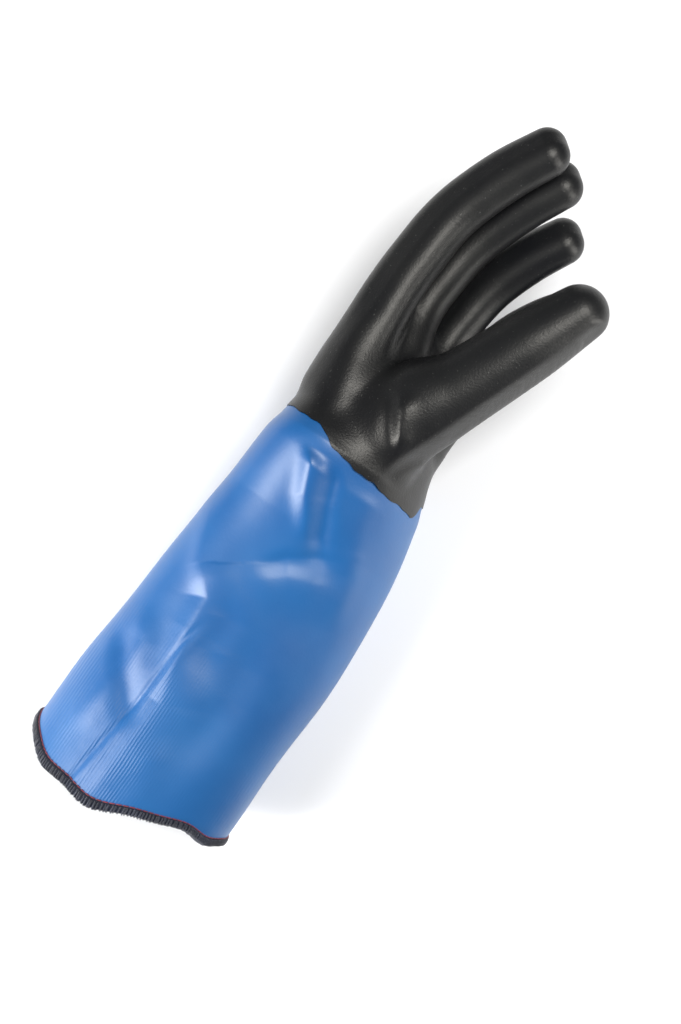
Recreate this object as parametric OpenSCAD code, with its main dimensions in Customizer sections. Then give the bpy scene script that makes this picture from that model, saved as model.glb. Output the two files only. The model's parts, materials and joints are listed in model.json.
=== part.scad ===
// Insulated gauntlet glove for the left hand, lying on its little-finger side, thumb side up.
// The hand is a dipped rubber skin over a quilted lining, cut at each finger joint so that it can bend.
// The gauntlet is a coated sleeve with its own lining and an overlocked hem.
// X runs along the sleeve from the hem to the fingertips, Y to the back of the hand, Z up.
// The origin is on the flat underside of the sleeve, halfway along it.

/* [Gauntlet] */
// Length of the sleeve from the hem to the edge of the dipped hand
sleeve_len = 205; // [170:1:260]
// Half of the width of the cuff opening
cuff_half_w = 60; // [50:0.5:72]
// Half of the height of the cuff opening
cuff_half_h = 40; // [34:0.5:50]
// Half of the width of the sleeve where it meets the hand
wrist_end_half_w = 57; // [50:0.5:66]
// Half of the height of the sleeve where it meets the hand
wrist_end_half_h = 38; // [33:0.5:46]
// How far the top of the hem bows out past its sides
hem_bow = 10; // [0:0.5:16]
// Width of the overlocked hem
hem_w = 5.5; // [4:0.5:9]
// How far the hem stands out past the sleeve
hem_proud = 1; // [0.6:0.1:2]
// Depth by which the underside of the sleeve is pressed flat on the bench
rest_press = 2.5; // [1.5:0.1:5]

/* [Hand] */
// Half of the thickness of the glove at the wrist, back to palm
wrist_half_t = 33; // [29:0.5:38]
// Half of the width of the palm
palm_half_w = 50; // [49:0.5:56]
// Turn of the hand about the sleeve, thumb side toward the back
hand_roll = 38; // [25:1:45]
// Bend of the hand at the wrist, toward its back
hand_cock = 9; // [0:1:14]
// Length of the soft wrist between the sleeve and the palm
wrist_len = 18; // [14:0.5:24]
// Height of the middle of the wrist above the bench
wrist_h = 48; // [46:0.5:60]

/* [Fingers] */
// Radius of the fingers at the knuckles
finger_r = 12.3; // [11:0.1:12.3]
// How much a finger is deeper than it is wide, each side of its centre
finger_deep = 3; // [1.5:0.1:4]
// Scale of the length of all fingers
finger_len = 1; // [0.85:0.01:1.15]
// Sideways distance from one knuckle to the next
finger_pitch = 25; // [24.9:0.1:27]
// Radius of the thumb at its knuckle
thumb_r = 20; // [17:0.5:22]

/* [Walls] */
// Thickness of the rubber skin and of the sleeve's coated fabric
skin_t = 1.6; // [1:0.1:2.4]
// Thickness of the insulating lining of the hand
lining_t = 3; // [2:0.1:3.6]
// Thickness of the sleeve's lining
sleeve_lining_t = 1.5; // [0.8:0.1:2.5]

/* [Joints] */
// Half of the angle left open on the palm side of each finger joint
bend_palm = 17; // [12:0.5:20]
// Half of the angle left open on the back of each finger joint
bend_back = 11.5; // [8:0.5:14]
// Half of the angle left open on each side of a thumb joint
bend_thumb = 9.5; // [6:0.5:12]
// Half of the space between two pieces at a joint's axis
joint_gap = 0.4; // [0.35:0.05:0.8]
// Space left between a soft crease and the piece that moves against it
crease_gap = 0.3; // [0.2:0.05:0.4]

/* [Hidden] */
$fn = 48;

// clearance between two layers of one wall
layer_gap = 0.1;
// depth of the surfaces below the outside of the hand
lining_in = skin_t + layer_gap;
hollow_in = lining_in + lining_t;
// depth of the surfaces below the outside of the sleeve
sleeve_lining_in = skin_t + layer_gap;
sleeve_hollow_in = sleeve_lining_in + sleeve_lining_t;
// number of corners of a soft cross-section
ring_n = 40;
// middle of the wrist, measured from the hem
wrist_at = [sleeve_len + 6, 1, wrist_h];
// start of the palm in front of the middle of the wrist
palm_start = wrist_len - 6;
// far larger than any cross-section
reach = 30;

// A digit is: knuckle position in the hand, sideways lean, bends, lengths, radii, half depth added,
// half of the open angle on the palm side and on the back of its joints.
r = finger_r;
p = finger_pitch;
k = finger_len;
index = [[80, -1, 1.52 * p], 1.2, [12, 22, 12], k * [45, 33, 25], [r, r - 0.3, r - 0.7, r - 1.7],
    finger_deep, bend_palm, bend_back];
middle = [[80, 2, 0.5 * p], 0, [16, 19, 11], k * [43, 32, 22], [r, r - 0.3, r - 0.7, r - 1.7],
    finger_deep, bend_palm, bend_back];
ring = [[73, -4, -0.51 * p], -1.2, [17, 19, 11], k * [38, 27, 20], [r, r - 0.3, r - 0.7, r - 1.7],
    finger_deep, bend_palm, bend_back];
little = [[62, -15, -1.5 * p], -3, [20, 23, 14], k * [32, 25, 17],
    [r - 0.3, r - 0.7, r - 1.3, r - 2.3], finger_deep - 0.6, bend_palm, bend_back];
thumb = [[13, -26, 16], 6, [34, 0, 0], [45, 37, 27], [thumb_r + 2, thumb_r, thumb_r - 1.5, thumb_r - 4],
    0, bend_thumb, bend_thumb];
fingers = [index, middle, ring, little];

skin_colour = [0.13, 0.13, 0.13];
crease_colour = [0.09, 0.09, 0.09];
lining_colour = [0.8, 0.78, 0.72];
sleeve_colour = [0.16, 0.42, 0.78];
sleeve_lining_colour = [0.62, 0.7, 0.8];
hem_colour = [0.07, 0.08, 0.14];
needle_colour = [0.7, 0.12, 0.1];

// bend of a digit up to one of its pieces
function bend_at(d, i) = i < 0 ? 0 : d[2][i] + bend_at(d, i - 1);
// position of one of a digit's joints in the digit's own plane
function joint_at(d, i) = i <= 0 ? [0, 0] :
    joint_at(d, i - 1) + d[3][i - 1] * [cos(bend_at(d, i - 1)), -sin(bend_at(d, i - 1))];

// half of the height of an ellipse turned by an angle
function turned_h(a, b, turn) = sqrt(pow(a * sin(turn), 2) + pow(b * cos(turn), 2));

// sizes of the sleeve's section at a distance from the hem, as a share of its length
function sleeve_a(t) = cuff_half_w + (wrist_end_half_w - cuff_half_w) * t;
function sleeve_b(t) = cuff_half_h + (wrist_end_half_h - cuff_half_h) * t;
function sleeve_turn(t) = (90 - hand_roll) * t * t;
function sleeve_y(t) = 1.5 - 4 * sin(180 * t) * (1 - t);
function sleeve_z(t) = turned_h(sleeve_a(t), sleeve_b(t), sleeve_turn(t)) - rest_press
    + (t > 0.8 ? (t - 0.8) * 5 * rest_press : 0);

// one ring of the sleeve at x, in the depth g below its outside
function sleeve_ring(x, g, shift = 0) =
    let (
        t = max(0, min(1, x / sleeve_len)),
        a = sleeve_a(t) - g,
        b = sleeve_b(t) - g,
        turn = sleeve_turn(t),
        h = turned_h(sleeve_a(t), sleeve_b(t), turn),
        fade = max(0, 1 - t / 0.35)
    )
    [for (i = [0 : ring_n - 1])
        let (
            ang = 360 * (i + 0.5) / ring_n,
            u = a * cos(ang),
            v = b * sin(ang),
            z = u * sin(turn) + v * cos(turn)
        )
        [
            x + shift - hem_bow * fade * pow(max(0, z / h), 2),
            sleeve_y(t) + u * cos(turn) - v * sin(turn),
            sleeve_z(t) + z
        ]];

// one ring of the hand in the hand's own frame: half width, half thickness, middle
function hand_ring(x, a, b, y, g) =
    [for (i = [0 : ring_n - 1])
        let (ang = 360 * (i + 0.5) / ring_n)
        [x, y - (b - g) * sin(ang), (a - g) * cos(ang)]];

// a point of the hand's frame in the frame of the sleeve
function from_hand(q) =
    let (
        x = q[0] * cos(hand_cock) - q[1] * sin(hand_cock),
        y = q[0] * sin(hand_cock) + q[1] * cos(hand_cock),
        c = cos(hand_roll),
        s = sin(hand_roll)
    )
    wrist_at + [x, y * c + q[2] * s, -y * s + q[2] * c];

function middle_of(points) =
    [for (i = [0 : 2]) [for (q = points) q[i]] * [for (q = points) 1] / len(points)];

// a closed solid through rings that have the same number of points
module loft(rings) {
    n = len(rings[0]);
    m = len(rings);
    last = (m - 1) * n;
    points = concat([for (s = rings) each s], [middle_of(rings[0]), middle_of(rings[m - 1])]);
    sides = [for (j = [0 : m - 2]) for (i = [0 : n - 1])
        let (a = j * n + i, b = j * n + (i + 1) % n)
        each [[a, b + n, b], [a, a + n, b + n]]];
    near = [for (i = [0 : n - 1]) [m * n, i, (i + 1) % n]];
    far = [for (i = [0 : n - 1]) [m * n + 1, last + (i + 1) % n, last + i]];
    polyhedron(points, concat(sides, near, far));
}

// everything is placed from the hem, then moved so that the origin is under the middle of the sleeve
module from_hem() {
    translate([-sleeve_len / 2, 0, 0])
    children();
}

module in_hand() {
    from_hem()
    translate(wrist_at)
    rotate([-hand_roll, 0, 0])
    rotate([0, 0, hand_cock])
    children();
}

// the frame of piece i of a digit: X along the piece, Z along the joints' axes
module at_piece(d, i) {
    q = joint_at(d, i);
    translate(d[0])
    rotate([0, d[1], 0])
    translate([q[0], q[1], 0])
    rotate([0, 0, -bend_at(d, i)])
    children();
}

// the frame of joint i of a digit: X halfway between the two pieces
module at_joint(d, i) {
    q = joint_at(d, i);
    translate(d[0])
    rotate([0, d[1], 0])
    translate([q[0], q[1], 0])
    rotate([0, 0, -(bend_at(d, i) + bend_at(d, i - 1)) / 2])
    children();
}

// a tapered limb along X whose section is deeper than wide, run on by more at its far end
module limb(len, r0, r1, deep, more = 0, seam = 0) {
    for (side = deep > 0 ? [-1, 1] : [0]) {
        translate([0, side * deep, 0])
        rotate([0, 90, 0])
        rotate([0, 0, seam]) {
            cylinder(h = len, r1 = r0, r2 = r1);
            if (more > 0) {
                translate([0, 0, len])
                cylinder(h = more, r = r1);
            }
        }
    }
    if (deep > 0) {
        rotate([90, 0, 0])
        linear_extrude(height = 2 * deep, center = true)
        polygon([[0, -r0], [len, -r1], [len + more, -r1], [len + more, r1], [len, r1], [0, r0]]);
    }
}

// a ball that is deeper than wide
module tip_ball(r, deep) {
    if (deep > 0) {
        for (side = [-1, 1]) {
            translate([0, side * deep, 0])
            sphere(r = r);
        }
        rotate([90, 0, 0])
        cylinder(h = 2 * deep, r = r, center = true);
    } else {
        sphere(r = r);
    }
}

// everything past a joint on its far side, for the open angle on the palm and back sides
module beyond(palm, back, gap) {
    linear_extrude(height = 3 * reach, center = true)
    polygon([[-gap, 0], [-gap - reach * tan(palm), -reach], [2 * reach, -reach],
        [2 * reach, reach], [-gap - reach * tan(back), reach]]);
}

// the open wedge of a joint, filled up to the piece in front of it and short of the one after it
module wedge(palm, back, gap) {
    far = gap - crease_gap;
    linear_extrude(height = 3 * reach, center = true)
    polygon([[-gap, 0], [-gap - reach * tan(palm), -reach], [far + reach * tan(palm), -reach],
        [far, 0], [far + reach * tan(back), reach], [-gap - reach * tan(back), reach]]);
}

// one layer of piece i of a digit, between two depths below its outside
module digit_layer(d, i, outer, inner) {
    last = len(d[3]) - 1;
    seam = d[5] == 0 && i < last ? 33 : 0;
    difference() {
        union() {
            at_piece(d, i)
            limb(d[3][i], d[4][i] - outer, d[4][i + 1] - outer, d[5], 0, seam);
            if (i == last) {
                at_piece(d, i)
                translate([d[3][i], 0, 0])
                tip_ball(d[4][i + 1] - outer, d[5]);
            }
        }
        at_piece(d, i)
        translate([-0.5, 0, 0])
        limb(d[3][i] + (i == last ? 0.5 : 1), d[4][i] - inner, d[4][i + 1] - inner, d[5], 0, seam);
        if (i == last) {
            at_piece(d, i)
            translate([d[3][i], 0, 0])
            tip_ball(d[4][i + 1] - inner, d[5]);
        } else {
            at_joint(d, i + 1)
            beyond(d[6], d[7], joint_gap);
        }
        at_joint(d, i)
        mirror([1, 0, 0])
        beyond(d[6], d[7], joint_gap);
    }
}

// the soft crease that closes joint i of a digit
module digit_crease(d, i) {
    rj = d[4][i];
    stub = rj * 0.8;
    color(crease_colour)
    in_hand()
    at_joint(d, i)
    difference() {
        intersection() {
            translate([-stub, 0, 0])
            limb(2 * stub, rj, rj, d[5]);
            wedge(d[6], d[7], joint_gap);
        }
        translate([-stub - 1, 0, 0])
        limb(2 * stub + 2, rj - skin_t, rj - skin_t, d[5]);
    }
}

// the bone line of one finger inside the palm, run on at the knuckle by more
module palm_ridge(d, g, more) {
    start = [20, d[0][1] * 0.3, d[0][2] * 0.84];
    v = d[0] - start;
    translate(start)
    rotate([0, -atan2(v[2], norm([v[0], v[1]])), atan2(v[1], v[0])])
    limb(norm(v), d[4][0] + 2.2 - g, d[4][0] - g, d[5], more);
}

// the outside of the palm at a depth g, with each finger's ridge and the thumb's base
module palm_solid(g, open) {
    back = open ? 1 : 0;
    loft([
        hand_ring(palm_start - back, palm_half_w, wrist_half_t + back / 8, 0, g),
        hand_ring(palm_start + 16, palm_half_w, wrist_half_t - 2, 0, g),
        hand_ring(palm_start + 32, palm_half_w - 1, wrist_half_t - 7, -0.5, g),
        hand_ring(palm_start + 43, palm_half_w - 5, wrist_half_t - 16.5, -2.5, g)
    ]);
    for (d = fingers) {
        difference() {
            palm_ridge(d, g, 1);
            if (!open) {
                at_joint(d, 0)
                beyond(d[6], d[7], joint_gap);
            }
        }
    }
    difference() {
        at_piece(thumb, 0) {
            limb(thumb[3][0] + (open ? 1 : 0), thumb[4][0] - g, thumb[4][1] - g, 0, 0, 33);
            sphere(r = thumb[4][0] + 0.6 - g);
        }
        if (!open) {
            at_joint(thumb, 1)
            beyond(thumb[6], thumb[7], joint_gap);
        }
        translate([palm_start + g - 60, 0, 0])
        cube([120, 200, 200], center = true);
    }
}

module palm_layer(outer, inner) {
    in_hand()
    difference() {
        palm_solid(outer, false);
        palm_solid(inner, true);
    }
}

// the sleeve between two depths below its outside, cut flat underneath
module sleeve_layer(outer, inner, x0, x1) {
    from_hem()
    difference() {
        sleeve_solid(outer, x0, x1, 0);
        sleeve_solid(inner, x0, x1, 2);
    }
}

module sleeve_solid(g, x0, x1, more) {
    steps = 7;
    first = 6.7;
    xs = concat([x0, first - 0.9, first], [for (i = [1 : steps]) first + (x1 - first) * i / steps]);
    intersection() {
        loft(concat(
            more > 0 ? [sleeve_ring(x0, g, -more)] : [],
            [for (x = xs) sleeve_ring(x, g)],
            more > 0 ? [sleeve_ring(x1, g, more)] : []
        ));
        translate([-50, -150, max(0, g)])
        cube([sleeve_len + 100, 300, 300]);
    }
}

module gauntlet_shell() {
    color(sleeve_colour)
    sleeve_layer(0, skin_t, hem_w - 0.6, sleeve_len);
}

module gauntlet_lining() {
    color(sleeve_lining_colour)
    sleeve_layer(sleeve_lining_in, sleeve_hollow_in, hem_w - 0.6, sleeve_len);
}

module hem_overlock() {
    color(hem_colour)
    from_hem()
    difference() {
        intersection() {
            loft([sleeve_ring(0, -hem_proud, -0.6), sleeve_ring(hem_w - 0.6, -hem_proud)]);
            translate([-50, -150, 0])
            cube([100, 300, 300]);
        }
        intersection() {
            loft([sleeve_ring(0, sleeve_hollow_in + 0.6, -3), sleeve_ring(0, sleeve_hollow_in + 0.6),
                sleeve_ring(hem_w - 0.6, sleeve_hollow_in + 0.6),
                sleeve_ring(hem_w - 0.6, sleeve_hollow_in + 0.6, 3)
            ]);
            translate([-50, -150, sleeve_hollow_in + 0.6])
            cube([100, 300, 300]);
        }
    }
}

module hem_needle_thread() {
    first = 6.7;
    color(needle_colour)
    from_hem()
    difference() {
        intersection() {
            loft([sleeve_ring(first - 0.9, -0.8), sleeve_ring(first, -0.8)]);
            translate([-50, -150, 1.2])
            cube([100, 300, 300]);
        }
        loft([sleeve_ring(first - 0.9, -0.05, -3), sleeve_ring(first - 0.9, -0.05),
            sleeve_ring(first, -0.05), sleeve_ring(first, -0.05, 3)]);
    }
}

module wrist_layer(outer, inner) {
    function far(g, x) = [for (q = hand_ring(x, palm_half_w, wrist_half_t, 0, g)) from_hand(q)];
    function mid(g) = (sleeve_ring(sleeve_len, g, 0) + far(g, palm_start)) / 2;
    from_hem()
    difference() {
        loft([sleeve_ring(sleeve_len, outer), mid(outer + 1), far(outer, palm_start - crease_gap)]);
        loft([sleeve_ring(sleeve_len, inner, -1), sleeve_ring(sleeve_len, inner), mid(inner + 1),
            far(inner, palm_start - crease_gap), far(inner, palm_start + 1)]);
    }
}

module wrist_skin() {
    color(skin_colour)
    wrist_layer(0, skin_t);
}

module wrist_lining() {
    color(lining_colour)
    wrist_layer(lining_in, lining_in + sleeve_lining_t);
}

module palm_skin() {
    color(skin_colour)
    palm_layer(0, skin_t);
}

module palm_lining() {
    color(lining_colour)
    palm_layer(lining_in, hollow_in);
}

module digit_skin(d, i) {
    color(skin_colour)
    in_hand()
    digit_layer(d, i, 0, skin_t);
}

module digit_lining(d, i) {
    color(lining_colour)
    in_hand()
    digit_layer(d, i, lining_in, hollow_in);
}

module index_proximal_skin() { digit_skin(index, 0); }
module index_middle_skin() { digit_skin(index, 1); }
module index_tip_skin() { digit_skin(index, 2); }
module index_proximal_lining() { digit_lining(index, 0); }
module index_middle_lining() { digit_lining(index, 1); }
module index_tip_lining() { digit_lining(index, 2); }
module index_knuckle_crease() { digit_crease(index, 0); }
module index_middle_crease() { digit_crease(index, 1); }
module index_end_crease() { digit_crease(index, 2); }
module middle_proximal_skin() { digit_skin(middle, 0); }
module middle_middle_skin() { digit_skin(middle, 1); }
module middle_tip_skin() { digit_skin(middle, 2); }
module middle_proximal_lining() { digit_lining(middle, 0); }
module middle_middle_lining() { digit_lining(middle, 1); }
module middle_tip_lining() { digit_lining(middle, 2); }
module middle_knuckle_crease() { digit_crease(middle, 0); }
module middle_middle_crease() { digit_crease(middle, 1); }
module middle_end_crease() { digit_crease(middle, 2); }
module ring_proximal_skin() { digit_skin(ring, 0); }
module ring_middle_skin() { digit_skin(ring, 1); }
module ring_tip_skin() { digit_skin(ring, 2); }
module ring_proximal_lining() { digit_lining(ring, 0); }
module ring_middle_lining() { digit_lining(ring, 1); }
module ring_tip_lining() { digit_lining(ring, 2); }
module ring_knuckle_crease() { digit_crease(ring, 0); }
module ring_middle_crease() { digit_crease(ring, 1); }
module ring_end_crease() { digit_crease(ring, 2); }
module little_proximal_skin() { digit_skin(little, 0); }
module little_middle_skin() { digit_skin(little, 1); }
module little_tip_skin() { digit_skin(little, 2); }
module little_proximal_lining() { digit_lining(little, 0); }
module little_middle_lining() { digit_lining(little, 1); }
module little_tip_lining() { digit_lining(little, 2); }
module little_knuckle_crease() { digit_crease(little, 0); }
module little_middle_crease() { digit_crease(little, 1); }
module little_end_crease() { digit_crease(little, 2); }
module thumb_proximal_skin() { digit_skin(thumb, 1); }
module thumb_tip_skin() { digit_skin(thumb, 2); }
module thumb_proximal_lining() { digit_lining(thumb, 1); }
module thumb_tip_lining() { digit_lining(thumb, 2); }
module thumb_knuckle_crease() { digit_crease(thumb, 1); }
module thumb_end_crease() { digit_crease(thumb, 2); }

gauntlet_shell();
gauntlet_lining();
hem_overlock();
hem_needle_thread();
wrist_skin();
wrist_lining();
palm_skin();
palm_lining();
index_proximal_skin();
index_middle_skin();
index_tip_skin();
index_proximal_lining();
index_middle_lining();
index_tip_lining();
index_knuckle_crease();
index_middle_crease();
index_end_crease();
middle_proximal_skin();
middle_middle_skin();
middle_tip_skin();
middle_proximal_lining();
middle_middle_lining();
middle_tip_lining();
middle_knuckle_crease();
middle_middle_crease();
middle_end_crease();
ring_proximal_skin();
ring_middle_skin();
ring_tip_skin();
ring_proximal_lining();
ring_middle_lining();
ring_tip_lining();
ring_knuckle_crease();
ring_middle_crease();
ring_end_crease();
little_proximal_skin();
little_middle_skin();
little_tip_skin();
little_proximal_lining();
little_middle_lining();
little_tip_lining();
little_knuckle_crease();
little_middle_crease();
little_end_crease();
thumb_proximal_skin();
thumb_tip_skin();
thumb_proximal_lining();
thumb_tip_lining();
thumb_knuckle_crease();
thumb_end_crease();
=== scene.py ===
"""Looks of the insulated gauntlet glove: dipped rubber hand, coated sleeve, overlocked hem, knit linings."""
import json
import math

import bpy
import numpy as np
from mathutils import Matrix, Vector


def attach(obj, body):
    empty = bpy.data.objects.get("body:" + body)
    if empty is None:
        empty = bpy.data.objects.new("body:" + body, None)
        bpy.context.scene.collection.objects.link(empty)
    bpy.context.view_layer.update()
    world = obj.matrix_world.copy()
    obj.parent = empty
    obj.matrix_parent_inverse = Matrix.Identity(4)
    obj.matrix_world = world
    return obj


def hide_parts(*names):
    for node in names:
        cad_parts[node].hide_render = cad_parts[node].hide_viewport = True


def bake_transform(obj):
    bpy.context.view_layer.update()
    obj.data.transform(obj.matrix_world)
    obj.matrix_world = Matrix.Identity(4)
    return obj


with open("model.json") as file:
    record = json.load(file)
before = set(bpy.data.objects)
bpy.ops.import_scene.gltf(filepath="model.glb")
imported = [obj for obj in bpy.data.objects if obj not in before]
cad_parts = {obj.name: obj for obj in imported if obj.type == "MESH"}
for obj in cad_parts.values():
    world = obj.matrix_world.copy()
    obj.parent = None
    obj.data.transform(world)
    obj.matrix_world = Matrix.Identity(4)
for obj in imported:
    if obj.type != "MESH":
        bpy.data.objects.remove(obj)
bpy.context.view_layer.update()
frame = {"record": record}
record = frame["record"]
joints = {j["name"]: j for j in record["behaviour"]["joints"]}
rng = np.random.default_rng(7)
MM = 0.001


# ---------------------------------------------------------------- frame of the hand, in mm
def joint_at(name):
    return np.array(joints[name]["pos_m"], float) * 1000.0


def unit(v):
    v = np.asarray(v, float)
    return v / np.linalg.norm(v)


# the hand's own axes: X toward the fingers, Y toward its back, Z toward the thumb
HAND_PITCH = math.radians(9)
WRIST_BEHIND_JOINT = 4.0
HAND_Z = -unit(joints["wrist_bend"]["axis"])
HAND_ROLL = math.atan2(HAND_Z[1], HAND_Z[2])
HAND_X = unit([math.cos(HAND_PITCH), math.sin(HAND_PITCH) * math.cos(HAND_ROLL),
               -math.sin(HAND_PITCH) * math.sin(HAND_ROLL)])
HAND_Y = np.cross(HAND_Z, HAND_X)
WRIST = joint_at("wrist_bend") - WRIST_BEHIND_JOINT * HAND_X
HAND = np.column_stack([HAND_X, HAND_Y, HAND_Z])


def to_hand(p):
    return (p - WRIST) @ HAND


def from_hand(q):
    return np.asarray(q, float) @ HAND.T + WRIST


# ---------------------------------------------------------------- digits
def turn_about(v, axis, deg):
    a = math.radians(deg)
    return v * math.cos(a) + np.cross(axis, v) * math.sin(a) + axis * (axis @ v) * (1 - math.cos(a))


# last bend, length of the last piece, radii at each joint and tip, half depth added at root and tip
DIGITS = {
    "index": (12, 24.5, (11.6, 11.25, 11.1, 10.5), (3.6, 2.6)),
    "middle": (11, 24.5, (11.6, 11.2, 11.0, 10.4), (3.4, 2.6)),
    "ring": (11, 21.0, (11.5, 11.15, 10.9, 10.3), (3.3, 2.4)),
    "little": (14, 17.0, (11.2, 10.9, 10.4, 9.8), (2.8, 2.0)),
    "thumb": (0, 26.5, (21.5, 19.6, 18.0, 14.9), (0.0, 0.0)),
}


# where each finger's ridge starts inside the palm, in the hand's frame
RIDGES = {
    "index": (20.0, 6.0, 33.0),
    "middle": (34.0, -7.0, 11.5),
    "ring": (34.0, -11.0, -8.0),
    "little": (24.0, -12.0, -28.0),
}
# outward normal of the thumb's flat side, built from the cosine and sine of the glove's turn on the floor
COS_TURN, SIN_TURN = 0.5693, 0.8221
THUMB_FLAT = unit([0.9060 * (0.57 * COS_TURN - 0.82 * SIN_TURN),
                   0.9060 * (-0.57 * SIN_TURN - 0.82 * COS_TURN), 0.4230])
THUMB_FLAT_DEPTH = 2.3
FAR = 16.0  # distance given to points well away from a digit


class Digit:
    """A bent digit: a rounded line through its joints, with a stadium for a section."""

    def __init__(self, name):
        bend, tip_len, radii, deep = DIGITS[name]
        self.thumb = name == "thumb"
        if self.thumb:
            p1, p2 = joint_at("thumb_knuckle"), joint_at("thumb_end_joint")
            self.axis = -unit(joints["thumb_knuckle"]["axis"])
            p0 = p1 - unit(p2 - p1) * 45.0
        else:
            p0, p1, p2 = (joint_at(name + s) for s in ("_knuckle", "_middle_joint", "_end_joint"))
            self.axis = unit(joints[name + "_knuckle"]["axis"])
        last = turn_about(unit(p2 - p1), self.axis, bend)
        self.p = [p0, p1, p2, p2 + last * tip_len]
        self.dirs = [unit(self.p[i + 1] - self.p[i]) for i in range(3)]
        if self.thumb:
            lead = self.dirs[0]
            points, marks = [p0 - lead * 12.0, p0 - lead * 8.0], [-0.3, -0.2]
        else:
            back = from_hand(RIDGES[name])
            lead = unit(p0 - back)
            points, marks = [back], [-np.linalg.norm(p0 - back) / 40.0]
        for i in range(3):
            before = self.dirs[i - 1] if i else lead
            size = np.linalg.norm(self.p[i + 1] - self.p[i])
            behind = np.linalg.norm(self.p[i] - self.p[i - 1]) if i else 40.0
            c0, c1 = min(15.0, 0.45 * behind), min(15.0, 0.45 * size)
            for t in np.linspace(0, 1, 8):
                a = self.p[i] - before * c0 * (1 - t)
                b = self.p[i] + self.dirs[i] * c1 * t
                points.append(a + (b - a) * t)
                marks.append(i - (1 - t) ** 2 * c0 / behind + t * t * c1 / size)
        points.append(self.p[3])
        marks.append(3.0)
        self.points, self.marks = np.array(points), np.array(marks)
        at = np.clip(self.marks, 0, 3)
        root_swell = 0.0 if self.thumb else 1.2
        self.radii = np.interp(at, range(4), radii) + np.clip(-self.marks, 0, 1.5) * root_swell
        self.deeps = np.interp(at, (0, 3), deep)
        self.lo = self.points.min(axis=0) - 34.0
        self.hi = self.points.max(axis=0) + 34.0

    def field(self, p, grow=0.0):
        """Distance to the digit, and where along its pieces the nearest point lies."""
        out = np.full(len(p), FAR)
        along = np.zeros(len(p))
        near = np.all((p > self.lo) & (p < self.hi), axis=1)
        if not near.any():
            return out, along
        q = p[near]
        best = np.full(len(q), 1e9)
        where = np.zeros(len(q))
        for i in range(len(self.points) - 1):
            a, b = self.points[i], self.points[i + 1]
            d = unit(b - a)
            y = np.cross(self.axis, d)
            length = np.linalg.norm(b - a)
            v = q - a
            x = v @ d
            h = v @ y
            z = v @ np.cross(d, y)
            deep = self.deeps[i] + (self.deeps[i + 1] - self.deeps[i]) * np.clip(x / length, 0, 1)
            h = h - np.clip(h, -deep, deep)
            off = np.sqrt(h ** 2 + z ** 2)
            taper = (self.radii[i] - self.radii[i + 1]) / length
            t = np.clip((x - taper * off) / length, 0, 1)
            r = self.radii[i] + (self.radii[i + 1] - self.radii[i]) * t
            f = np.sqrt((x - t * length) ** 2 + off ** 2) - r - grow
            if self.thumb:
                f = smooth_max(f, (v - np.outer(x, d)) @ THUMB_FLAT - (r + grow) + THUMB_FLAT_DEPTH, 1.6)
            closer = f < best
            best = np.where(closer, f, best)
            where = np.where(closer, self.marks[i] + (self.marks[i + 1] - self.marks[i]) * t, where)
        out[near] = np.minimum(best, FAR)
        along[near] = where
        return out, along


def smooth_min(a, b, k):
    h = np.clip(0.5 + 0.5 * (b - a) / k, 0, 1)
    return b + (a - b) * h - k * h * (1 - h)


def smooth_max(a, b, k):
    return -smooth_min(-a, -b, k)


def smooth_step(x, lo, hi):
    t = np.clip((x - lo) / (hi - lo), 0, 1)
    return t * t * (3 - 2 * t)


def mix(a, b, t):
    return a + (b - a) * t


def fold(x, y, points, left, right):
    """A fold, 1 high, along a line of points seen from above. left and right are its widths."""
    best = np.full(np.shape(x), 1e9)
    side = np.zeros(np.shape(x))
    along = np.zeros(np.shape(x))
    last = len(points) - 1
    for i in range(last):
        (ax, ay), (bx, by) = points[i], points[i + 1]
        dx, dy = bx - ax, by - ay
        size = dx * dx + dy * dy
        t = ((x - ax) * dx + (y - ay) * dy) / size
        c = np.clip(t, 0, 1)
        d = np.hypot(x - ax - c * dx, y - ay - c * dy)
        closer = d < best
        best = np.where(closer, d, best)
        side = np.where(closer, ((y - ay) * dx - (x - ax) * dy) / math.sqrt(size), side)
        free = np.where(i == 0, np.minimum(t, 0), 0) + np.where(i == last - 1, np.maximum(t - 1, 0), 0)
        along = np.where(closer, (i + c + free) / last, along)
    width = mix(right, left, smooth_step(side, -1.0, 1.0))
    ends = smooth_step(along, -0.05, 0.3) * (1 - smooth_step(along, 0.7, 1.05))
    return np.exp(-(best / width) ** 2) * ends


digits = {n: Digit(n) for n in DIGITS}
FINGERS = ("index", "middle", "ring", "little")

# ---------------------------------------------------------------- sleeve sections, in mm from the hem
HEM_X = -102.5
SLEEVE_LEN = 205.0


def sleeve_section(x):
    """Middle, half axes and turn of the section at x (row frame, mm)."""
    t = np.clip((x - HEM_X) / SLEEVE_LEN, 0, 1.2)
    a = 60.0 - 3.0 * t
    b = 40.0 - 2.0 * t
    turn = np.radians(52.0) * np.minimum(t, 1.0) ** 2
    half = np.sqrt((a * np.sin(turn)) ** 2 + (b * np.cos(turn)) ** 2)
    cy = 1.5 - 4.0 * np.sin(np.pi * np.minimum(t, 1)) * (1 - np.minimum(t, 1))
    cz = half - 2.5 + np.clip((t - 0.8) * 12.5, 0, 2.5)
    h = x - HEM_X
    cy = cy - 3.8 * np.exp(-((h - 155.0) / 50.0) ** 2) + 1.2 * np.exp(-((h - 40.0) / 35.0) ** 2)
    return cy, cz, a, b, turn


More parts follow.
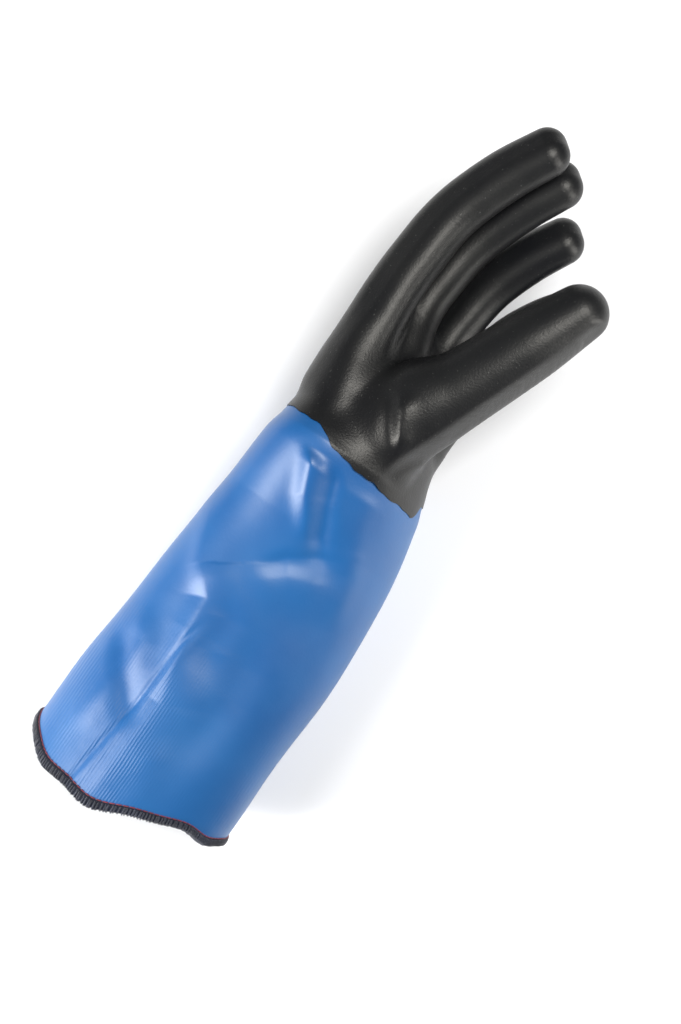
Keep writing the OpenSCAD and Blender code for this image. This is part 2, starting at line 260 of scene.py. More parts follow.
def tube_section(x):
    """The sleeve's section run on into the wrist."""
    cy, cz, a, b, turn = sleeve_section(x)
    w = smooth_step(x, 92.0, 126.0)
    wx = x - WRIST[0]
    hy = WRIST[1] + wx * HAND_X[1] / HAND_X[0]
    hz = WRIST[2] + wx * HAND_X[2] / HAND_X[0]
    return mix(cy, hy, w), mix(cz, hz, w), mix(a, 50.0, w), mix(b, 34.0, w), turn


def tube_point(x, ang, grow=0.0):
    cy, cz, a, b, turn = tube_section(x)
    u = (a + grow) * np.cos(ang)
    v = (b + grow) * np.sin(ang)
    return cy + u * np.cos(turn) - v * np.sin(turn), cz + u * np.sin(turn) + v * np.cos(turn)


def tube_field(p, grow=0.0):
    cy, cz, a, b, turn = tube_section(p[:, 0])
    y, z = p[:, 1] - cy, p[:, 2] - cz
    u = y * np.cos(turn) + z * np.sin(turn)
    v = -y * np.sin(turn) + z * np.cos(turn)
    a, b = a + grow, b + grow
    g = np.sqrt((u / a) ** 2 + (v / b) ** 2) + 1e-6
    return (g - 1) * g / np.sqrt((u / a ** 2) ** 2 + (v / b ** 2) ** 2 + 1e-12)


def capsule(q, a, b, ra, rb):
    a, b = np.asarray(a, float), np.asarray(b, float)
    ab = b - a
    t = np.clip(((q - a) @ ab) / (ab @ ab), 0, 1)
    return np.linalg.norm(q - a - t[:, None] * ab, axis=1) - (ra + (rb - ra) * t)


def palm_field(q, grow):
    """The palm in the hand's frame, fuller on its back than on its inner side."""
    x = q[:, 0]
    a = mix(50.0, 45.0, smooth_step(x, 30, 75)) + grow
    back = mix(33.0, 16.0, smooth_step(x, 20, 82)) + grow
    front = mix(36.0, 10.5, smooth_step(x, 2, 64)) + grow
    b = np.where(q[:, 1] > 0, back, front)
    y, z = q[:, 1], q[:, 2]
    g = np.sqrt((z / a) ** 2 + (y / b) ** 2) + 1e-6
    f = (g - 1) * g / np.sqrt((z / a ** 2) ** 2 + (y / b ** 2) ** 2 + 1e-12)
    return smooth_max(f, x - 66.0 - grow, 16.0)


def skin_relief(p):
    """Small folds of the rubber seen from above: how far they stand out, mm."""
    x, y = p[:, 0], p[:, 1]
    f = 2.2 * fold(x, y, [(116.0, -18.0), (130.0, -8.5), (143.0, 0.5)], 3.2, 6.5)
    f = f - 1.1 * fold(x, y, [(116.0, -9.0), (131.0, -1.0), (143.0, 7.0)], 4.5, 4.5)
    f = f + 0.5 * fold(x, y, [(110.0, 33.0), (124.0, 27.0), (144.0, 29.0)], 6.0, 8.0)
    f = f - 0.5 * fold(x, y, [(108.0, 22.0), (122.0, 17.0), (138.0, 20.0)], 6.0, 6.0)
    f = f + 0.7 * fold(x, y, [(104.0, -22.0), (116.0, -27.0), (126.0, -36.0)], 3.0, 5.0)
    return f * smooth_step(p[:, 2], 50.0, 72.0)


def hand_field(p, grow=0.0):
    """Signed distance (about) to the outside of the glove's hand, mm, negative inside."""
    q = to_hand(p)
    w = smooth_step(p[:, 0], 108.0, 132.0)
    body = mix(tube_field(p, grow), palm_field(q, grow), w)
    body = smooth_min(body, capsule(q, (20, -14, 14), (34, -32, 16), 22 + grow, 20.5 + grow), 10.0)
    thumb, _ = digits["thumb"].field(p, grow)
    body = smooth_min(body, thumb, 9.0)
    for n in FINGERS:
        f, along = digits[n].field(p, grow)
        body = smooth_min(body, f, 0.4 + 6.6 * (1 - smooth_step(along, -0.25, 0.4)))
    if grow == 0.0:
        body = body - skin_relief(p)
    return body


# ---------------------------------------------------------------- meshing
def surface_nets(field, lo, hi, h):
    """Vertices and quads of the surface where field is zero, on a grid of step h."""
    axes = [np.arange(lo[i], hi[i] + h, h) for i in range(3)]
    shape = tuple(len(a) for a in axes)
    grid = np.empty(shape)
    yy, zz = np.meshgrid(axes[1], axes[2], indexing="ij")
    for i0 in range(0, shape[0], 16):
        xs = axes[0][i0:i0 + 16]
        pts = np.empty((len(xs),) + yy.shape + (3,))
        pts[..., 0] = xs[:, None, None]
        pts[..., 1] = yy
        pts[..., 2] = zz
        grid[i0:i0 + 16] = field(pts.reshape(-1, 3)).reshape(len(xs), *yy.shape)
    inside = grid < 0
    corners = [(i, j, k) for i in (0, 1) for j in (0, 1) for k in (0, 1)]

    def at(arr, c):
        return arr[c[0]:shape[0] - 1 + c[0], c[1]:shape[1] - 1 + c[1], c[2]:shape[2] - 1 + c[2]]

    count = sum(at(inside, c).astype(np.int8) for c in corners)
    active = (count > 0) & (count < 8)
    ids = -np.ones(active.shape, np.int64)
    n = int(active.sum())
    ids[active] = np.arange(n)
    vals = {c: at(grid, c)[active] for c in corners}
    acc = np.zeros((n, 3))
    hits = np.zeros(n)
    for ax in range(3):
        for c in corners:
            if c[ax]:
                continue
            e = list(c)
            e[ax] = 1
            a, b = vals[c], vals[tuple(e)]
            cross = (a < 0) != (b < 0)
            t = np.where(cross, a / np.where(cross, a - b, 1), 0)
            pos = np.tile(np.array(c, float), (n, 1))
            pos[:, ax] += t
            acc += pos * cross[:, None]
            hits += cross
    base = np.argwhere(active)
    verts = (base + acc / hits[:, None]) * h + np.array([a[0] for a in axes])
    quads = []
    for ax in range(3):
        b1, b2 = [i for i in range(3) if i != ax]
        s0 = [slice(None)] * 3
        s1 = [slice(None)] * 3
        s0[ax] = slice(0, shape[ax] - 1)
        s1[ax] = slice(1, shape[ax])
        first, second = inside[tuple(s0)], inside[tuple(s1)]
        edge = np.argwhere(first != second)
        edge = edge[(edge[:, b1] > 0) & (edge[:, b2] > 0)
                    & (edge[:, b1] < shape[b1] - 1) & (edge[:, b2] < shape[b2] - 1)]
        flip = first[tuple(edge.T)]
        cells = []
        for d1, d2 in ((-1, -1), (0, -1), (0, 0), (-1, 0)):
            c = edge.copy()
            c[:, b1] += d1
            c[:, b2] += d2
            cells.append(ids[tuple(c.T)])
        q = np.column_stack(cells)
        if ax == 1:
            q = q[:, ::-1]
        q[~flip] = q[~flip][:, ::-1]
        quads.append(q)
    return verts, np.vstack(quads)


def gradient(field, p, e=0.3):
    g = np.empty_like(p)
    for i in range(3):
        d = np.zeros(3)
        d[i] = e
        g[:, i] = (field(p + d) - field(p - d)) / (2 * e)
    return g


LONGEST_STEP = 0.8


def settle(field, p, rounds=3):
    """Moves points onto the surface and returns them with their outward normals."""
    for _ in range(rounds):
        g = gradient(field, p)
        step = field(p)[:, None] * g / np.maximum((g ** 2).sum(1), 0.25)[:, None]
        p = p - np.clip(step, -LONGEST_STEP, LONGEST_STEP)
    g = gradient(field, p)
    return p, g / np.maximum(np.linalg.norm(g, axis=1), 1e-6)[:, None]


def make_object(name, verts, faces, normals=None):
    """A smooth mesh object from points in mm. Its rest attribute keeps the points for the textures."""
    me = bpy.data.meshes.new(name)
    me.from_pydata((np.asarray(verts) * MM).tolist(), [], [list(map(int, f)) for f in faces])
    me.update()
    me.polygons.foreach_set("use_smooth", np.ones(len(me.polygons), bool))
    attr = me.attributes.new("rest", "FLOAT_VECTOR", "POINT")
    attr.data.foreach_set("vector", (np.asarray(verts, np.float32) * MM).ravel())
    if normals is not None:
        me.normals_split_custom_set_from_vertices([tuple(v) for v in normals])
    obj = bpy.data.objects.new(name, me)
    bpy.context.collection.objects.link(obj)
    return obj


def piece_from(name, verts, normals, faces, pick):
    """An object from the picked faces of a larger mesh."""
    f = faces[pick]
    used, inverse = np.unique(f, return_inverse=True)
    return make_object(name, verts[used], inverse.reshape(f.shape), normals[used])


def edge_line(_, y, z):
    """Where the dipped hand ends on the sleeve, as an x for each place round the wrist."""
    back = smooth_step(z, 44.0, 58.0)
    top = 99.5 + 0.08 * y + 3.0 * (1 + np.tanh((y - 15.0) / 6.0)) - 0.2 * np.clip(y - 34.0, 0, None)
    top = top + 0.5 * np.sin(y * 0.33) + 0.25 * np.sin(y * 0.8 + 1.0)
    under = 103.2 + 0.8 * np.sin(y * 0.12 + 0.5) + 0.4 * np.sin(y * 0.4)
    return mix(under, top, back)


# ---------------------------------------------------------------- hand skin and lining
def label_faces(centres):
    """For each face centre, the name of its piece: wrist, palm, or a digit and part such as index_middle."""
    q = to_hand(centres)
    label = np.full(len(centres), "palm", dtype=object)
    label[q[:, 0] < 30.0] = "wrist"
    dist = {}
    along = {}
    for n in DIGITS:
        dist[n], along[n] = digits[n].field(centres)
    near = np.array(FINGERS, dtype=object)[np.argmin(np.column_stack([dist[n] for n in FINGERS]), axis=1)]
    for n in FINGERS:
        root = to_hand(digits[n].p[0])
        mine = (near == n) & (q[:, 0] > root[0] - 15.0) & (dist[n] < 14.0)
        s = along[n]
        label[mine & (s < 0.5)] = n + "_knuckle"
        label[mine & (s >= 0.5) & (s < 1.5)] = n + "_middle"
        label[mine & (s >= 1.5)] = n + "_end"
    body = np.minimum.reduce([dist[n] for n in FINGERS])
    s = along["thumb"]
    mine = (dist["thumb"] < 4.0) & (dist["thumb"] < body) & (s > 0.55)
    label[mine & (s < 1.5)] = "thumb_knuckle"
    label[mine & (s >= 1.5)] = "thumb_end"
    return label


BLENDS = {"wrist": ("gauntlet", "palm")}
for _n in FINGERS:
    BLENDS[_n + "_knuckle"] = ("palm", _n + "_proximal")
    BLENDS[_n + "_middle"] = (_n + "_proximal", _n + "_middle")
    BLENDS[_n + "_end"] = (_n + "_middle", _n + "_tip")
BLENDS["thumb_knuckle"] = ("palm", "thumb_proximal")
BLENDS["thumb_end"] = ("thumb_proximal", "thumb_tip")


def put_on_body(obj, label):
    if label == "palm":
        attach(obj, "palm")
        return
    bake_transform(obj)


STANDS_FOR = {
    "wrist": ["wrist_%s"],
    "palm": ["palm_%s"],
    "thumb_knuckle": ["thumb_proximal_%s", "thumb_knuckle_crease"],
    "thumb_end": ["thumb_tip_%s", "thumb_end_crease"],
}
for _n in FINGERS:
    STANDS_FOR[_n + "_knuckle"] = [_n + "_proximal_%s", _n + "_knuckle_crease"]
    STANDS_FOR[_n + "_middle"] = [_n + "_middle_%s", _n + "_middle_crease"]
    STANDS_FOR[_n + "_end"] = [_n + "_tip_%s", _n + "_end_crease"]

GRID_LO = np.array([88.0, -72.0, -4.0])
GRID_HI = np.array([298.0, 72.0, 122.0])


SKIN_STEP = 1.25
LIP_DEPTH = 0.7
LINING_STEP = 3.0
LINING_DEPTH = 4.8  # below the outside of the rubber
LINING_START = 103.0


def build_hand(step):
    verts, quads = surface_nets(hand_field, GRID_LO, GRID_HI, step)
    verts, normals = settle(hand_field, verts)
    limit = edge_line(*verts.T)
    ahead = verts[:, 0] >= limit
    keep = ahead[quads].any(axis=1)
    quads = quads[keep]
    behind = ~ahead
    verts[behind, 0] = limit[behind]
    verts, normals = trimmed_to_tube(verts, normals, behind)
    return verts, normals, quads


def trimmed_to_tube(verts, normals, which):
    """Points slid along to the edge line go back onto the surface round the sleeve."""
    p = verts[which]
    for _ in range(3):
        g = gradient(hand_field, p)
        g[:, 0] = 0
        f = hand_field(p)
        p = p - f[:, None] * g / np.maximum((g ** 2).sum(1), 0.25)[:, None]
        p[:, 0] = edge_line(*p.T)
    verts[which] = p
    g = gradient(hand_field, p)
    normals[which] = g / np.linalg.norm(g, axis=1)[:, None]
    return verts, normals


def boundary_edges(quads):
    e = np.vstack([quads[:, [0, 1]], quads[:, [1, 2]], quads[:, [2, 3]], quads[:, [3, 0]]])
    key = np.sort(e, axis=1)
    _, index, count = np.unique(key, axis=0, return_index=True, return_counts=True)
    return e[index[count == 1]]


def with_lip(verts, normals, quads, depth):
    """Turns the open rear edge inward, so that the dipped coat shows its thickness."""
    rim = boundary_edges(quads)
    ids = np.unique(rim)
    place = {int(v): len(verts) + i for i, v in enumerate(ids)}
    inner = verts[ids] - normals[ids] * depth
    lip = np.array([[a, place[int(a)], place[int(b)], b] for a, b in rim])[:, ::-1]
    back = np.tile([-1.0, 0, 0], (len(ids), 1))
    return np.vstack([verts, inner]), np.vstack([normals, unit_rows(back + 0.2 * normals[ids])]), \
        np.vstack([quads, lip])


def unit_rows(v):
    return v / np.maximum(np.linalg.norm(v, axis=1), 1e-9)[:, None]


skin_v, skin_n, skin_q = build_hand(SKIN_STEP)
skin_v, skin_n, skin_q = with_lip(skin_v, skin_n, skin_q, LIP_DEPTH)
labels = label_faces(skin_v[skin_q].mean(axis=1))
skin_pieces = {}
for lab in ["wrist", "palm"] + [k for k in BLENDS if k != "wrist"]:
    pick = labels == lab
    if not pick.any():
        raise SystemExit("no faces for " + lab)
    o = piece_from(lab + "_skin_look", skin_v, skin_n, skin_q, pick)
    skin_pieces[lab] = o


def lining_field(p):
    return hand_field(p, -LINING_DEPTH)


line_v, line_q = surface_nets(lining_field, GRID_LO, GRID_HI, LINING_STEP)
line_v, line_n = settle(lining_field, line_v, 2)
keep = (line_v[line_q][:, :, 0] >= LINING_START).all(axis=1)
line_q = line_q[keep][:, ::-1]
line_n = -line_n
line_labels = label_faces(line_v[line_q].mean(axis=1))
lining_pieces = {}
for lab in skin_pieces:
    pick = line_labels == lab
    if pick.any():
        lining_pieces[lab] = piece_from(lab + "_lining_look", line_v, line_n, line_q, pick)

# ---------------------------------------------------------------- sleeve
def sleeve_relief(x, y, up):
    """Folds of the coated fabric: how far the outside stands out, mm."""
    h = x - HEM_X
    top = smooth_step(up, -0.1, 0.5)
    f = 5.0 * fold(h, y, [(216, 27), (192, 15), (178, 9), (158, -5)], 13.0, 5.5)
    f = f - 3.6 * fold(h, y, [(212, 13), (192, 4), (178, -1), (164, -9), (152, -19)], 4.5, 7.0)
    f = f + 1.0 * fold(h, y, [(200, -14), (184, -18), (168, -24)], 8.0, 10.0)
    f = f - 1.8 * fold(h, y, [(134, 10), (146, -1), (153.5, -13), (160, -26)], 4.0, 9.0)
    f = f + 1.4 * fold(h, y, [(124, 10), (138, -6), (146, -30)], 6.0, 12.0)
    f = f + 1.5 * fold(h, y, [(176, -22), (156, -32), (128, -37)], 7.0, 7.0)
    f = f + 4.2 * fold(h, y, [(160, 52), (120, 32), (108, 19), (89, 18), (54, 9), (-30, 15)], 20.0, 8.0)
    f = f - 1.8 * fold(h, y, [(120, 17), (104, 7), (86, 6), (66, -4)], 8.0, 9.0)
    f = f - 1.9 * fold(h, y, [(70, 52), (60, 42), (46, 26), (38, 16)], 7.0, 6.0)
    f = f + 1.3 * fold(h, y, [(86, 46), (70, 36), (44, 37), (14, 46)], 7.0, 7.0)
    f = f - 0.75 * fold(h, y, [(98, 15), (83, 18), (48, 21), (16, 26), (-14, 30)], 1.5, 1.5)
    f = f + 0.55 * fold(h, y, [(96, 12), (80, 15), (46, 17.5), (14, 22), (-14, 27)], 2.5, 2.5)
    f = f + 1.2 * fold(h, y, [(120, -24), (90, -30), (40, -30), (0, -24)], 12.0, 12.0)
    f = f - 1.0 * fold(h, y, [(108, -10), (70, -18), (30, -14)], 10.0, 10.0)
    f = f + 0.8 * fold(h, y, [(40, 2), (20, -6), (-4, -8)], 8.0, 8.0)
    g = 1.0 * np.sin(h * 0.055 + y * 0.03 + 1.0) * np.sin(h * 0.021 - y * 0.05)
    return f * top + g * (1 - 0.75 * top)


# rows along the sleeve and points round it
ROWS, ROUND = ((270, 380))
LINING_ROWS = 120
SLEEVE_END = 109.0
SLEEVE_GROW = -0.5
SLEEVE_LINING_END = 106.0
SLEEVE_LINING_GROW = -3.6


def sleeve_grid(grow, x0, x1, rows):
    """Rows of points round the sleeve from x0 to x1, with its folds and its slanting hem."""
    xs = np.linspace(x0, x1, rows)
    ang = np.linspace(0, 2 * np.pi, ROUND, endpoint=False)
    x, a = np.meshgrid(xs, ang, indexing="ij")
    y, z = tube_point(x, a, grow)
    cy, cz, aa, bb, turn = tube_section(x)
    half = np.sqrt((aa * np.sin(turn)) ** 2 + (bb * np.cos(turn)) ** 2)
    up = (z - cz) / half
    ny, nz = tube_point(x, a, grow + 1.0)
    ny, nz = ny - y, nz - z
    fade = 1 - smooth_step(x, 88.0, 97.0)
    rel = sleeve_relief(x, y, up) * fade
    y = y + ny * rel
    z = z + nz * rel
    t = (x - HEM_X) / SLEEVE_LEN
    run = np.clip(1 - t / 0.35, 0, 1.02)
    bow = 9.0 + 9.5 * np.tanh(y / 22.0)
    x = x - bow * run * np.clip(up, 0, None) ** 1.4
    x = x + run ** 3 * (1.1 * np.sin(6 * a + 1.0) + 0.7 * np.sin(11 * a + 2.0)) * np.clip(up + 0.4, 0, 1)
    low = -grow + 0.15
    soft = 1.2
    z = np.where(z < low + soft, low + soft * np.exp((z - low - soft) / soft), z)
    return np.stack([x, y, z], axis=-1)


def grid_faces(rows, cols, flip=False):
    i, j = np.meshgrid(np.arange(rows - 1), np.arange(cols), indexing="ij")
    k = (j + 1) % cols
    f = np.stack([i * cols + j, i * cols + k, (i + 1) * cols + k, (i + 1) * cols + j], axis=-1)
    f = f.reshape(-1, 4)
    return f[:, ::-1] if flip else f


outer = sleeve_grid(SLEEVE_GROW, HEM_X + 3.0, SLEEVE_END, ROWS)
sleeve = make_object("sleeve_look", outer.reshape(-1, 3), grid_faces(ROWS, ROUND, True))
inner = sleeve_grid(SLEEVE_LINING_GROW, HEM_X + 0.8, SLEEVE_LINING_END, LINING_ROWS)
sleeve_lining = make_object("sleeve_lining_look", inner.reshape(-1, 3), grid_faces(LINING_ROWS, ROUND))

# ---------------------------------------------------------------- hem
band_rows = []
for dx, grow in ((4.6, -0.7), (4.5, -0.1), (3.6, 0.2), (2.2, 0.3), (1.2, 0.2), (0.6, -0.3), (0.3, -1.3),
                 (0.3, -2.4), (0.7, -3.4), (1.6, -3.8), (4.4, -3.9), (4.8, -3.4)):
    band_rows.append(sleeve_grid(grow, HEM_X + dx, HEM_X + dx + 1.0, 2)[0])
band = np.stack(band_rows)
hem_base = make_object("hem_band_look", band.reshape(-1, 3), grid_faces(len(band_rows), ROUND))


def tube_along(points, closed, radius, sides=6):
    """Rings of a round thread along points (n, 3), with faces."""
    n = len(points)
    nxt = np.roll(points, -1, axis=0) if closed else np.vstack([points[1:], points[-1:] * 2 - points[-2:-1]])
    prv = np.roll(points, 1, axis=0) if closed else np.vstack([points[:1] * 2 - points[1:2], points[:-1]])
    tangent = unit_rows(nxt - prv)
    side = unit_rows(np.cross(tangent, [0.31, 0.22, 0.92]))
    other = np.cross(tangent, side)
    ang = np.linspace(0, 2 * np.pi, sides, endpoint=False)
    rings = points[:, None] + radius * (np.cos(ang)[None, :, None] * side[:, None]
                                        + np.sin(ang)[None, :, None] * other[:, None])
    verts = rings.reshape(-1, 3)
    faces = []
    for i in range(n if closed else n - 1):
        for j in range(sides):
            k = (j + 1) % sides
            a, b = i * sides, ((i + 1) % n) * sides
            faces.append((a + j, a + k, b + k, b + j))
    if not closed:
        faces.append(tuple(range(sides))[::-1])
        faces.append(tuple((n - 1) * sides + j for j in range(sides)))
    return verts, faces


# overlock loops: slanted threads over the edge, close together
LOOPS = 230
LOOP_RADII = (0.34, 0.50)
verts, faces = [], []
count = 0
profile = [(4.1, 0.2), (3.3, 0.6), (2.0, 0.7), (0.7, 0.4), (0.0, -0.8), (-0.1, -2.2), (0.5, -3.6),
           (1.8, -4.2), (4.0, -4.2)]
paths = {}
for dx, grow in profile:
    paths[(dx, grow)] = sleeve_grid(grow, HEM_X + dx, HEM_X + dx + 1.0, 2)[0]
full = np.linspace(0, 2 * np.pi, ROUND, endpoint=False)
for i in range(LOOPS):
    start = 2 * np.pi * (i + rng.uniform(-0.3, 0.3)) / LOOPS
    slant = 2 * np.pi / LOOPS * rng.uniform(0.7, 1.1)
    pts = []
    for j, key in enumerate(profile):
        ang = start + slant * j / (len(profile) - 1)
        row = paths[key]
        pts.append([np.interp(ang, full, row[:, c], period=2 * np.pi) for c in range(3)])
    pts = np.array(pts) + rng.normal(0, 0.10, (len(pts), 3))
    v, f = tube_along(pts, False, rng.uniform(*LOOP_RADII), 5)
    verts.append(v)
    faces += [tuple(c + count for c in face) for face in f]
    count += len(v)
overlock = make_object("hem_overlock_look", np.vstack(verts), faces)

# needle thread: short red stitches just inside the overlock
verts, faces = [], []
count = 0
STITCHES = 118
STITCH_RADIUS = 0.28
STITCH_DIP = 0.45
SLEEVE_MIDDLE = (1.0, 38.0)
needle_row = sleeve_grid(-0.15, HEM_X + 4.9, HEM_X + 5.9, 2)[0]
for i in range(STITCHES):
    a0 = 2 * np.pi * i / STITCHES
    pts = []
    for s in np.linspace(0, 0.8, 6):
        ang = a0 + s * 2 * np.pi / STITCHES
        p = np.array([np.interp(ang, full, needle_row[:, c], period=2 * np.pi) for c in range(3)])
        dip = STITCH_DIP * (abs(s - 0.4) / 0.4) ** 4
        p = p - unit(p - np.array([p[0], *SLEEVE_MIDDLE])) * dip
        pts.append(p)
    v, f = tube_along(np.array(pts), False, STITCH_RADIUS, 5)
    verts.append(v)
    faces += [tuple(c + count for c in face) for face in f]
    count += len(v)
needle = make_object("hem_needle_look", np.vstack(verts), faces)


# ---------------------------------------------------------------- materials
class Nodes:
    """Short way to build a node material."""

    def __init__(self, name):
        self.mat = bpy.data.materials.new(name)
        self.mat.use_nodes = True
        self.tree = self.mat.node_tree
        self.tree.nodes.clear()
        self.out = self.add("ShaderNodeOutputMaterial")
        self.bsdf = self.add("ShaderNodeBsdfPrincipled")
        self.link(self.bsdf.outputs[0], self.out.inputs[0])
        self.rest = self.add("ShaderNodeAttribute")
        self.rest.attribute_name = "rest"
        self.rest.attribute_type = "GEOMETRY"
        self.pos = self.rest.outputs["Vector"]

    def add(self, kind, **props):
        n = self.tree.nodes.new(kind)
        for k, v in props.items():
            setattr(n, k, v)
        return n

    def link(self, a, b):
        self.tree.links.new(a, b)

    def noise(self, scale, detail=3.0, rough=0.5, vector=None):
        n = self.add("ShaderNodeTexNoise")
        n.inputs["Scale"].default_value = scale
        n.inputs["Detail"].default_value = detail
        n.inputs["Roughness"].default_value = rough
        self.link(vector or self.pos, n.inputs["Vector"])
        return n.outputs["Fac"]

    def ramp(self, fac, stops):
        n = self.add("ShaderNodeValToRGB")
        el = n.color_ramp.elements
        while len(el) < len(stops):
            el.new(0.5)
        for e, (p, c) in zip(el, stops):
            e.position = p
            e.color = c if len(c) == 4 else (*c, 1)
        self.link(fac, n.inputs["Fac"])
        return n.outputs["Color"]

    def math(self, op, a, b=None, clamp=False):
        n = self.add("ShaderNodeMath", operation=op, use_clamp=clamp)
        for i, v in enumerate((a, b)):
            if v is None:
                continue
            if isinstance(v, (int, float)):
                n.inputs[i].default_value = v
            else:
                self.link(v, n.inputs[i])
        return n.outputs[0]

    def mix(self, fac, a, b):
        n = self.add("ShaderNodeMix", data_type="RGBA")
        sockets = [s for s in n.inputs if s.enabled]
        for s, v in zip(sockets, (fac, a, b)):
            if isinstance(v, (int, float)):
                s.default_value = v
            elif isinstance(v, tuple):
                s.default_value = (*v, 1) if len(v) == 3 else v
            else:
                self.link(v, s)
        return [s for s in n.outputs if s.enabled][0]

    def bump(self, height, strength, distance, normal=None):
        n = self.add("ShaderNodeBump")
        n.inputs["Strength"].default_value = strength
        n.inputs["Distance"].default_value = distance
        self.link(height, n.inputs["Height"])
        if normal is not None:
            self.link(normal, n.inputs["Normal"])
        return n.outputs[0]

    def split(self, vector):
        n = self.add("ShaderNodeSeparateXYZ")
        self.link(vector, n.inputs[0])
        return n.outputs

    def set(self, **values):
        for k, v in values.items():
            s = self.bsdf.inputs[k.replace("_", " ")]
            if isinstance(v, (int, float)):
                s.default_value = v
            elif isinstance(v, tuple):
                s.default_value = (*v, 1) if len(v) == 3 else v
            else:
                self.link(v, s)


def rubber_material():
    m = Nodes("dipped rubber")
    broad = m.noise(22.0, 3.0)
    fine = m.noise(900.0, 2.0, 0.6)
    grain = m.noise(3200.0, 2.0, 0.6)
    color = m.ramp(broad, [(0.3, (0.007, 0.0075, 0.009)), (0.7, (0.011, 0.0115, 0.012))])
    dust = m.ramp(m.noise(1100.0, 0.0, 0.4), [(0.80, (0, 0, 0)), (0.83, (1, 1, 1))])
    color = m.mix(m.math("MULTIPLY", dust, 0.30), color, (0.16, 0.16, 0.15))
    rough = m.math("ADD", m.math("MULTIPLY", broad, 0.12), 0.33)
    n1 = m.bump(fine, 0.22, 0.0006)
    n2 = m.bump(grain, 0.15, 0.0002, n1)
    n3 = m.bump(broad, 0.35, 0.003, n2)
    m.set(Base_Color=color, Roughness=rough, Normal=n3)
    m.bsdf.inputs["Specular IOR Level"].default_value = 0.42
    m.bsdf.inputs["Specular Tint"].default_value = (1.0, 0.97, 0.90, 1.0)
    return m.mat


def sleeve_material():
    m = Nodes("coated sleeve")
    x, y, _ = m.split(m.pos)
    broad = m.noise(16.0, 3.0)
    fine = m.noise(700.0, 2.0, 0.6)
    color = m.ramp(broad, [(0.3, (0.006, 0.094, 0.300)), (0.7, (0.011, 0.125, 0.360))])
    # lengthwise ribs of the knit, which show through the coating near the cuff
    warp = m.math("ADD", m.math("MULTIPLY", m.noise(40.0, 2.0), 0.0012), y)
    ribs = m.math("SINE", m.math("MULTIPLY", warp, 3900.0))
    zone = m.math("MULTIPLY", m.math("SUBTRACT", -0.005, x, True), 14.0, True)
    flank = m.math("MULTIPLY", m.math("ADD", y, 0.012), 45.0, True)
    zone = m.math("MULTIPLY", zone, m.math("ADD", m.math("MULTIPLY", flank, 0.8), 0.2))
    broken = m.ramp(m.noise(60.0, 3.0, 0.6), [(0.35, (0, 0, 0)), (0.62, (1, 1, 1))])
    ribs = m.math("MULTIPLY", ribs, m.math("MULTIPLY", zone, broken))
    n1 = m.bump(ribs, 0.35, 0.00025)
    n2 = m.bump(fine, 0.10, 0.0005, n1)
    n3 = m.bump(broad, 0.3, 0.003, n2)
    rough = m.math("ADD", m.math("MULTIPLY", broad, 0.14), 0.38)
    m.set(Base_Color=color, Roughness=rough, Normal=n3)
    m.bsdf.inputs["Specular IOR Level"].default_value = 0.62
    m.bsdf.inputs["Coat Weight"].default_value = 0.25
    m.bsdf.inputs["Coat Roughness"].default_value = 0.36
    return m.mat


def plain_material(name, color, rough, bump_scale=0.0, bump=0.0, spread=0.25, sheen=0.0):
    m = Nodes(name)
    broad = m.noise(60.0, 3.0)
    dark = tuple(c * (1 - spread) for c in color)
    lite = tuple(min(1, c * (1 + spread)) for c in color)
    m.set(Base_Color=m.ramp(broad, [(0.3, dark), (0.7, lite)]), Roughness=rough)
    if bump:
        m.set(Normal=m.bump(m.noise(bump_scale, 3.0, 0.7), bump, 0.0006))
    m.bsdf.inputs["Sheen Weight"].default_value = sheen
    return m.mat


def knit_material(name, color, pitch):
    """Small V stitches in rows, with painted shade darkening the low parts between them."""
    m = Nodes(name)
    x, y, z = m.split(m.pos)
    across = m.math("ADD", y, z)
    wale = m.math("SINE", m.math("MULTIPLY", across, 2 * math.pi / pitch))
    course = m.math("SINE", m.math("MULTIPLY", m.math("ADD", x, m.math("MULTIPLY", wale, pitch * 0.2)),
                                   2 * math.pi / pitch))
    height = m.math("ADD", m.math("MULTIPLY", wale, 0.5), m.math("MULTIPLY", course, 0.5))
    fuzz = m.noise(900.0, 3.0, 0.7)
    n = m.bump(fuzz, 0.4, 0.0005, m.bump(height, 0.6, 0.0008))
    # painted shade: the low parts of the stitches get 0.6 times the yarn colour, the high parts the full
    # colour
    low = tuple(c * 0.6 for c in color)
    m.set(Base_Color=m.ramp(height, [(0.2, low), (0.8, color)]), Roughness=0.9, Normal=n)
    m.bsdf.inputs["Sheen Weight"].default_value = 0.3
    return m.mat


rubber = rubber_material()
vinyl = sleeve_material()
hem_dark = plain_material("overlock thread", (0.012, 0.016, 0.035), 0.55, 1800.0, 0.5, 0.6, 0.4)
hem_cloth = plain_material("hem cloth", (0.010, 0.014, 0.030), 0.85, 1400.0, 0.5, 0.4)
red = plain_material("needle thread", (0.24, 0.02, 0.03), 0.6, 1500.0, 0.3, 0.4, 0.2)
knit = knit_material("insulating knit", (0.62, 0.60, 0.54), 0.0026)
sleeve_knit = knit_material("sleeve knit", (0.10, 0.20, 0.36), 0.0020)


def paint(obj, mat):
    obj.data.materials.clear()
    obj.data.materials.append(mat)


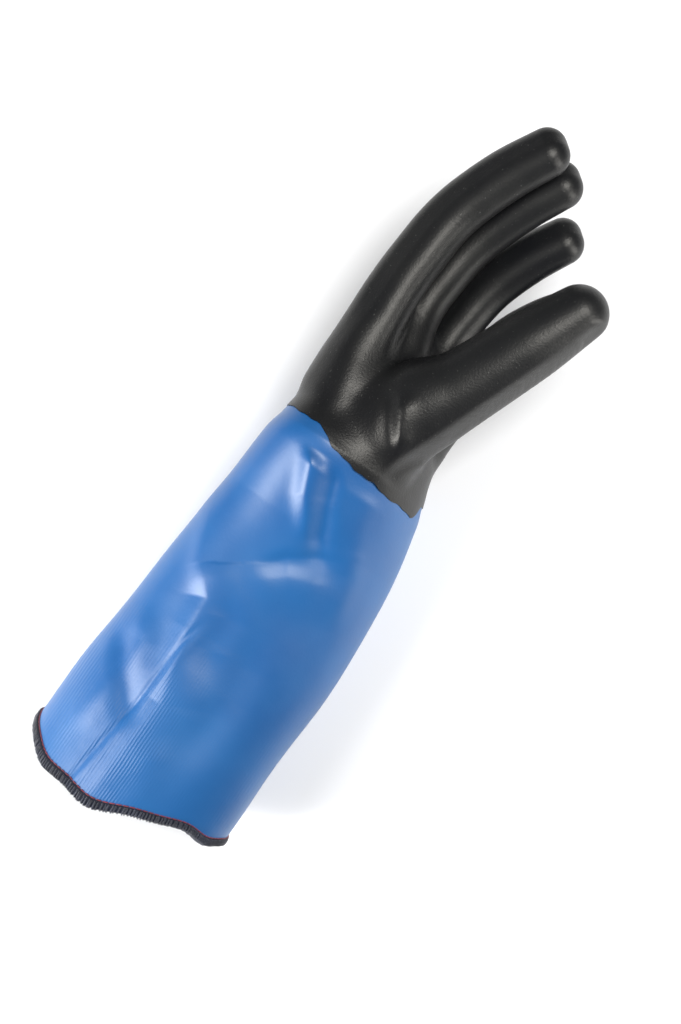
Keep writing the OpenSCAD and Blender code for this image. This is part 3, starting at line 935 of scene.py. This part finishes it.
for lab, o in skin_pieces.items():
    paint(o, rubber)
    put_on_body(o, lab)
    names = [s % "skin" if "%" in s else s for s in STANDS_FOR[lab]]
    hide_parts(*names)
for lab, o in lining_pieces.items():
    paint(o, knit)
    put_on_body(o, lab)
    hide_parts(*[s % "lining" for s in STANDS_FOR[lab] if "%" in s])
for o, mat, slot, nodes in ((sleeve, vinyl, "sleeve", ["gauntlet_shell"]),
                            (sleeve_lining, sleeve_knit, "sleeve_lining", ["gauntlet_lining"]),
                            (hem_base, hem_cloth, "hem", ["hem_overlock"]),
                            (overlock, hem_dark, "hem", []),
                            (needle, red, "needle", ["hem_needle_thread"])):
    paint(o, mat)
    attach(o, "gauntlet")
    if nodes:
        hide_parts(*nodes)

# ---------------------------------------------------------------- stage
floor = make_object("floor", np.array([[-3000, -3000, -0.4], [3000, -3000, -0.4], [3000, 3000, -0.4],
                                       [-3000, 3000, -0.4]]), [[0, 1, 2, 3]])
paint(floor, plain_material("pale floor", (0.95, 0.95, 0.95), 0.8, spread=0.0))


def area(name, place, aim, size, power):
    """A rectangular light at place, turned to aim."""
    light = bpy.data.lights.new(name, "AREA")
    light.shape = "RECTANGLE"
    light.size, light.size_y = size
    light.energy = power
    o = bpy.data.objects.new(name, light)
    bpy.context.collection.objects.link(o)
    o.location = Vector(place)
    o.rotation_mode = "QUATERNION"
    o.rotation_quaternion = (Vector(aim) - Vector(place)).to_track_quat("-Z", "Y")


# the view's right and up on the floor, and the point under the camera
TILT = math.radians(55.3)
CAMERA_HEIGHT = 0.760
RIGHT = np.array([math.cos(TILT), -math.sin(TILT), 0.0])
UP = np.array([math.sin(TILT), math.cos(TILT), 0.0])
MID = np.array([0.078, -0.009, 0.0])


def seen(right, up, height):
    """A place given as the camera sees it, in metres."""
    return tuple(MID + RIGHT * right + UP * up + np.array([0, 0, height]))


area("left", seen(-0.70, -0.20, 0.34), seen(-0.14, -0.08, 0.04), (0.24, 0.75), 9.5)
area("right", seen(0.50, -0.14, 0.28), seen(0.13, 0.10, 0.08), (0.16, 0.5), 1.8)
area("top", seen(0.36, 0.20, 1.15), seen(0.02, 0.04, 0.04), (0.45, 0.45), 10.5)

world = bpy.data.worlds.new("studio")
world.use_nodes = True
tree = world.node_tree
path = tree.nodes.new("ShaderNodeLightPath")
level = tree.nodes.new("ShaderNodeMapRange")
level.inputs["To Min"].default_value = 0.10
level.inputs["To Max"].default_value = 0.85
tree.links.new(path.outputs["Is Camera Ray"], level.inputs["Value"])
tree.links.new(level.outputs["Result"], tree.nodes["Background"].inputs["Strength"])
tree.nodes["Background"].inputs["Color"].default_value = (1, 1, 1, 1)
bpy.context.scene.world = world
bpy.context.scene.view_settings.view_transform = "Standard"

camera_data = bpy.data.cameras.new("camera")
camera_data.sensor_width = 36.0
camera_data.lens = 36.0 * 1360.0 / 1024.0
camera = bpy.data.objects.new("camera", camera_data)
bpy.context.collection.objects.link(camera)
camera.location = Vector((MID[0], MID[1], CAMERA_HEIGHT))
camera.rotation_mode = "XYZ"
camera.rotation_euler = (0, 0, math.atan2(RIGHT[1], RIGHT[0]))
bpy.context.scene.camera = camera
